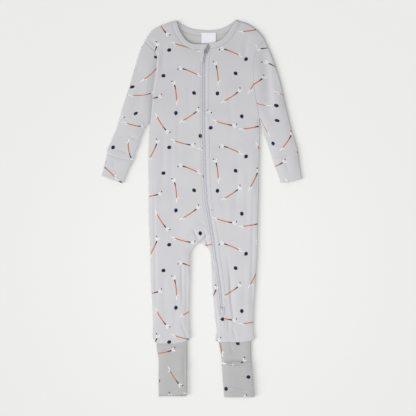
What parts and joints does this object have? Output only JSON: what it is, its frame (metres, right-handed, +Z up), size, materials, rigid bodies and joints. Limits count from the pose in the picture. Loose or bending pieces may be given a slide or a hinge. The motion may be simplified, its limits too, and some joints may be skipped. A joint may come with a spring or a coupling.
{
  "type": "footed baby sleepsuit",
  "caption": "Footed baby sleepsuit in printed knit, laid flat, with a zip from the neck into one leg, long cuffed sleeves and fold-over feet.",
  "frame": {"origin": "on the surface that the garment lies on, under the middle of its outline", "axes": "+Y from the feet to the neck, +Z up from the surface through the garment, +X towards the sleeve on the zipped leg's side"},
  "size_m": [0.4194, 0.7902, 0.0095],
  "materials": {
    "printed_knit": "heather grey cotton knit with a sparse print",
    "printed_rib": "the same printed cotton, doubled, a little darker",
    "binding": "plain heather grey cotton band",
    "zip_tape": "lilac grey woven polyester tape",
    "zip_nylon": "nylon coil dyed to match the tape",
    "zip_enamel": "grey enamelled die-cast metal",
    "label_cloth": "white satin label, left bare"
  },
  "bodies": {
    "garment": {"back_panel": "printed_knit", "front_left_panel": "printed_knit", "front_right_panel": "printed_knit", "sleeve_left": "printed_knit", "sleeve_right": "printed_knit", "sleeve_cuff_left": "printed_rib", "sleeve_cuff_right": "printed_rib", "foot_tube_left": "printed_rib", "foot_tube_right": "printed_rib", "foot_flap_left": "printed_rib", "foot_flap_right": "printed_rib", "neck_binding": "binding", "chin_guard": "binding", "neck_label": "label_cloth", "zip_tape_left": "zip_tape", "zip_tape_right": "zip_tape", "zip_coil": "zip_nylon", "zip_slider": "zip_enamel"},
    "pull_tab": {"zip_pull_tab": "zip_enamel"}
  },
  "joints": [
    {"name": "pull_tab_hinge", "type": "hinge", "parent": "garment", "child": "pull_tab", "pos_m": [0.00895, 0.327, 0.00785], "axis": [0.8988, -0.4384, 0], "range_deg": [0, 150]}
  ]
}
